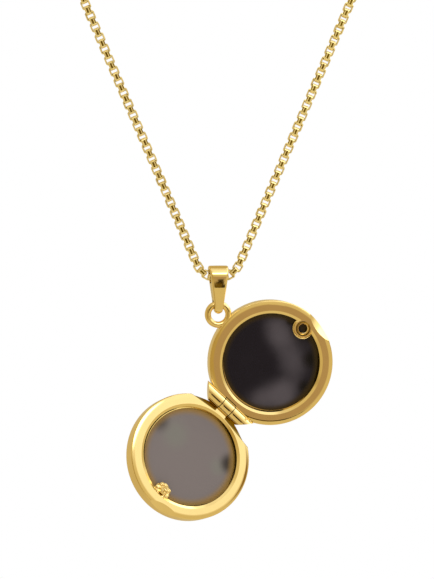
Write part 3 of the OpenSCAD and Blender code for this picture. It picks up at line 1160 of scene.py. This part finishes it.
@dataclass
class Studio:
    """A light tent with soft cards, a dim stretch where the photographer stands, and a pale floor."""

    walls: Colour = amber(0.68)
    even: Colour = (0.82, 0.82, 0.82)
    floor_drop: float = 1500.0
    floor_size: float = 8000.0
    paper: tuple[Colour, Colour] = ((0.88, 0.88, 0.87), (0.92, 0.92, 0.91))
    paper_grain: float = 40.0
    paper_glow: float = 0.35
    paper_roughness: float = 0.9
    cards: tuple[Card, ...] = (
        Card(0, 75, 360, 44, 10, amber(0.9)),
        Card(180, 48, 150, 64, 15, amber(0.55)),
        Card(0, -75, 360, 60, 12, amber(0.7)),
        Card(180, 5, 130, 60, 25, amber(0.62)),
        Card(-140, -38, 100, 50, 10, amber(0.6)),
        Card(-80, 10, 70, 90, 15, amber(0.6)),
        Card(-38, -4, 16, 46, 5, amber(0.2)),
        Card(-8, 5, 32, 40, 8, amber(0.47)),
        Card(9, -28, 64, 28, 8, amber(0.67)),
        Card(28, -4, 26, 34, 8, amber(0.66)),
        Card(52, 42, 90, 54, 9, (1.15, 1.12, 1.05)),
        Card(58, 10, 16, 14, 4, amber(0.25)),
        Card(10, 14, 34, 18, 6, amber(0.68)),
        Card(100, 44, 70, 56, 8, (1.25, 1.22, 1.12)),
        Card(107, 49, 34, 46, 4, (2.6, 2.5, 2.3)),
        Card(78, 33, 30, 12, 4, (2.4, 2.35, 2.2)),
        Card(10, 35, 44, 15, 3, (3.6, 3.5, 3.4)),
        Card(10, -4, 16, 11, 3, (0.434, 0.317, 0.204)),
        Card(9, -14, 17, 3.8, 0.6, SOOT),
        Card(9.2, -11.4, 6.2, 3, 0.5, SOOT),
        Card(9.6, -9.3, 3.8, 2.4, 0.5, SOOT),
        Card(6.6, -13.2, 9, 4.6, 1, (0.14, 0.085, 0.01)),
    )

    def light(self) -> None:
        """Builds the world: white behind the object, even on dull surfaces, cards in what metal mirrors."""
        world = bpy.data.worlds.new("light_tent")
        bpy.context.scene.world = world
        world.use_nodes = True
        sheet = Sheet(world.node_tree)
        spread = sheet.node("SeparateXYZ", {0: sheet.node("TexCoord").outputs["Generated"]}).outputs
        turned = sheet.math("ARCTAN2", spread[0], sheet.math("MULTIPLY", spread[1], -1.0))
        raised = sheet.math("ARCSINE", spread[2])
        colour = self.walls
        for card in self.cards:
            apart = sheet.math("SUBTRACT", turned, radians(card.azimuth))
            wrapped = sheet.math("ABSOLUTE", sheet.math("WRAP", apart, pi, -pi))
            over = sheet.math("ABSOLUTE", sheet.math("SUBTRACT", raised, radians(card.elevation)))
            inside = [
                sheet.fade(value, radians(size / 2 + card.soft), radians(size / 2 - card.soft))
                for value, size in ((wrapped, card.width), (over, card.height))
            ]
            colour = sheet.mix(sheet.math("MULTIPLY", *inside), colour, card.colour)
        path = sheet.node("LightPath").outputs
        lit = sheet.mix(path["Is Diffuse Ray"], colour, self.even)
        seen = sheet.mix(path["Is Camera Ray"], lit, (1.0, 1.0, 1.0))
        tent = sheet.node("Background", {"Color": seen})
        sheet.node("OutputWorld", {"Surface": tent.outputs[0]})
        bpy.context.scene.view_settings.view_transform = "Standard"

    def floor(self, lowest: float) -> Piece:
        """Lays the pale floor under the hanging necklace.

        Args:
            lowest: The lowest height of the object, in metres.

        Returns:
            The floor, marked as stage.
        """
        made = bpy.data.materials.new("studio_paper")
        made.use_nodes = True
        sheet = Sheet(made.node_tree)
        grain = sheet.noise(sheet.node("TexCoord").outputs["Object"], self.paper_grain, detail=3.0)
        sheet.surface({
            "Base Color": sheet.mix(grain, *self.paper), "Roughness": self.paper_roughness,
            "Emission Color": (1.0, 1.0, 1.0), "Emission Strength": self.paper_glow,
        })
        half, level = self.floor_size / 2 * MM, lowest - self.floor_drop * MM
        ways = ((-1, -1), (1, -1), (1, 1), (-1, 1))
        corners = [(right * half, back * half, level) for right, back in ways]
        piece = mesh_piece("studio_floor", np.array(corners), [(0, 1, 2, 3)], made, crease=30)
        piece.visible_glossy = False
        piece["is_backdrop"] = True
        return piece


@dataclass
class PhotoCamera:
    """The camera at the photograph's angle. Lengths in millimetres, angles in degrees."""

    azimuth: float = -8.8
    elevation: float = 3.3
    distance: float = 400.0
    target: Spot = (-0.22, 0.0, -182.78)
    pixels_per_mm: float = 5.25
    frame_height: float = 579.0
    sensor: float = 36.0
    clip: Pair = (0.01, 100.0)

    def build(self) -> Piece:
        """Builds the camera and makes it the scene's own.

        Returns:
            The camera.
        """
        data = bpy.data.cameras.new("photo_camera")
        data.sensor_width = self.sensor
        data.lens = self.sensor * self.pixels_per_mm * self.distance / self.frame_height
        data.clip_start, data.clip_end = self.clip
        camera = bpy.data.objects.new("photo_camera", data)
        bpy.context.scene.collection.objects.link(camera)
        back = unit(self.azimuth, self.elevation)
        camera.location = Vector(self.target) * MM + back * self.distance * MM
        camera.rotation_euler = (-back).to_track_quat("-Z", "Y").to_euler()
        bpy.context.scene.camera = camera
        return camera


def main() -> None:
    """Builds every sub-assembly in order."""
    logging.basicConfig(level=logging.INFO, format="%(message)s")
    cad_box = [list(corner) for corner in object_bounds()]
    plan = Plan.from_frame()
    groups = Groups()
    polished = GoldFinish("polished_gold").material(groups)
    # The cover's gold carries painted shade in the hinge's channels.
    hinge = Vector(plan.back.at(-CreaseLines.reach, 0.0, 0.0))
    channelled = ChannelledGold("channelled_gold", hinge=hinge, along=plan.back.along).material(groups)
    framing = GoldFinish("frame_gold", face=(0.92, 0.68, 0.24), roughness=0.12).material(groups)
    linked = GoldFinish(
        "link_gold", face=(1.0, 0.83, 0.37), painted_shade=(0.5, 0.34, 0.04), groove_mm=0.2, shut=0.2, open=0.6,
        wave_mm=0.0, fineness=2.0, roughness=0.25, worn=0.3, metallic=0.7,
    ).material(groups)
    # Painted shade for the floors of the links' slots: a dark gold.
    slotted = GoldFinish(
        "slot_painted_shade", face=(0.3, 0.2, 0.01), painted_shade=(0.16, 0.1, 0.0), wave_mm=0.0
    ).material(groups)
    nugget = GoldFinish(
        "catch_gold", painted_shade=(0.5, 0.36, 0.06), groove_mm=0.15, shut=0.2, open=0.55, roughness=0.14,
        metallic=0.75,
    ).material(groups)
    # Near-black gold for the dark lines: the knuckles' seams, and painted shadow in the case's gaps.
    crease = GoldFinish(
        "seam_and_painted_shadow", face=(0.03, 0.018, 0.0), painted_shade=(0.01, 0.006, 0.0), roughness=0.4
    ).material(groups)
    # Each plate's rim colour is a painted reflection of the gold round it.
    upper = PlateFinish(
        "dark_plate", plan.back, body=(0.0065, 0.0052, 0.0105), light=(0.078, 0.066, 0.074),
        dark=(0.001, 0.0008, 0.001), rim=(0.035, 0.02, 0.002),
        lights=(
            Patch(1.3, 6.9, 4.8, 0.5), Patch(1.8, 4.6, 4.8, 0.35), Patch(4.2, 2.1, 5.5, 0.4),
            Patch(4.8, -1.4, 5.2, 0.4), Patch(0.8, -6.8, 5.2, 0.7), Patch(3.4, -6.0, 4.6, 0.5),
            Patch(-3.0, -7.4, 4.0, 0.4),
        ),
        darks=(
            Patch(8.0, 0.5, 3.2, 0.8), Patch(3.9, 7.9, 1.4, 1.0),
            Patch(7.8, 4.6, 1.6, 0.9), Patch(6.6, -4.8, 2.4, 0.7),
        ),
    ).material(groups)
    lower = PlateFinish(
        "grey_plate", plan.cover, body=(0.189, 0.158, 0.151), light=(0.19, 0.178, 0.155),
        dark=(0.03, 0.022, 0.018), rim=(0.3, 0.17, 0.03), radius=9.35, fringe=1.7, roughness=0.15,
        lights=(Patch(-2.5, 4.5, 4.5, 0.9), Patch(6.0, -2.0, 3.0, 0.8)),
        darks=(Patch(-5.6, 7.1, 3.7, 0.75), Patch(8.5, -1.3, 3.3, 1.0)),
    ).material(groups)
    for name, finish in (
        ("back_half", polished), ("cover_half", channelled), ("hinge_pin", polished),
        ("back_frame", framing), ("cover_frame", framing), ("back_plate", upper), ("cover_plate", lower),
    ):
        for slot in frame["nodes"][name].material_slots:
            slot.material = finish
        LOG.info("dressed %s", name)
    LOG.info("camera %s", PhotoCamera().build().name)
    studio = Studio()
    studio.light()
    studio.floor(cad_box[0][2])
    for maker in (
        BoxChain(linked, slotted), BarrelClasp(linked), DropBail(plan, polished),
        CatchKnob(plan, nugget), SolderMarks(plan, nugget),
    ):
        LOG.info("built %s", maker.build().name)
    for piece in CreaseLines(plan, crease, polished).build():
        LOG.info("built %s", piece.name)


if __name__ == "__main__":
    main()
